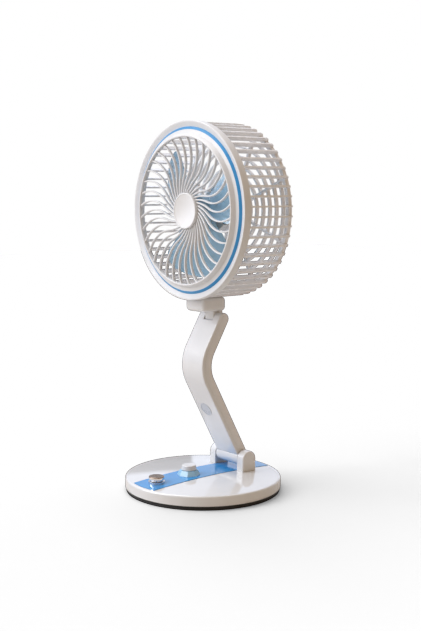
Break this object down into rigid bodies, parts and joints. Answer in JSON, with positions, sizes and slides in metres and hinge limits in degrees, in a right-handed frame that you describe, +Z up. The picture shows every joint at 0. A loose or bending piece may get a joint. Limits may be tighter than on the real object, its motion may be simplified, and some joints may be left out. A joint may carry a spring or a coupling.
{
  "type": "rechargeable folding table fan",
  "caption": "Small rechargeable table fan: round weighted base with blue control strip and knobs, bent folding arm, tilting round caged head with clear blue blades.",
  "frame": {"origin": "middle of the base, on the surface that the fan stands on", "axes": "+Z up; -Y is the way the air is blown; +X is to the right of someone facing the fan"},
  "size_m": [0.15, 0.135, 0.3156],
  "materials": {
    "white_shell": "glossy white moulding",
    "white_cage": "glossy white bars and bezel",
    "blue_panel": "glossy mid blue",
    "blue_ring": "glossy blue",
    "clear_blue": "see-through blue",
    "tinted_chrome": "bright plated cap with a warm tint",
    "black_rubber": "matt",
    "lens_grey": "frosted",
    "inner_plastic": "plain moulding",
    "board_green": "lacquered",
    "cell_wrap": "foil",
    "steel": "plain",
    "magnet": "dark",
    "winding": "copper wire on a laminated core",
    "bronze": "plain",
    "nut_plastic": "white",
    "wire": "insulated"
  },
  "bodies": {
    "base": {"base_cover": "white_shell", "base_plate": "inner_plastic", "foot_ring": "black_rubber", "control_panel": "blue_panel", "knob_collar": "clear_blue", "power_knob_ring": "white_shell", "hinge_post_left": "white_shell", "hinge_post_right": "white_shell", "hinge_pin": "steel", "friction_washers": "inner_plastic", "battery_pack": "cell_wrap", "ballast_plate": "steel", "control_board": "board_green", "power_switch": "inner_plastic", "speed_potentiometer": "inner_plastic", "charging_socket": "steel", "supply_leads": "wire", "battery_leads": "wire", "base_screws": "steel", "post_screws": "steel"},
    "arm": {"arm_rear_shell": "white_shell", "arm_front_cover": "white_shell", "indicator_lens": "lens_grey", "indicator_led": "lens_grey", "arm_leads": "wire", "arm_screws": "steel", "tilt_pin": "steel"},
    "head": {"neck_block": "white_shell", "neck_screws": "steel", "rear_cage": "white_cage", "front_grille": "white_cage", "accent_ring": "blue_ring", "hub_cap": "white_cage", "motor_can": "steel", "motor_end_cap": "inner_plastic", "motor_bearings": "bronze", "motor_magnets": "magnet", "motor_retainer": "inner_plastic", "motor_screws": "steel", "motor_leads": "wire"},
    "rotor": {"motor_shaft": "steel", "motor_armature": "winding", "impeller_nut": "nut_plastic", "fan_impeller": "clear_blue"},
    "speed_dial": {"speed_knob": "white_shell", "speed_spindle": "steel"},
    "power_dial": {"power_knob": "tinted_chrome", "power_spindle": "steel"}
  },
  "joints": [
    {"name": "arm_fold", "type": "hinge", "parent": "base", "child": "arm", "pos_m": [0, 0.0337, 0.024], "axis": [1, 0, 0], "range_deg": [-20, 50]},
    {"name": "head_tilt", "type": "hinge", "parent": "arm", "child": "head", "pos_m": [0, 0.01196, 0.14829], "axis": [-1, 0, 0], "range_deg": [-30, 135]},
    {"name": "fan_spin", "type": "hinge", "parent": "head", "child": "rotor", "pos_m": [0, 0, 0.24064], "axis": [0, 1, 0], "continuous": true},
    {"name": "speed_knob_turn", "type": "hinge", "parent": "base", "child": "speed_dial", "pos_m": [0, -0.0155, 0.02], "axis": [0, 0, 1], "range_deg": [0, 270]},
    {"name": "power_knob_turn", "type": "hinge", "parent": "base", "child": "power_dial", "pos_m": [0, -0.05, 0.016], "axis": [0, 0, 1], "range_deg": [0, 90]}
  ]
}
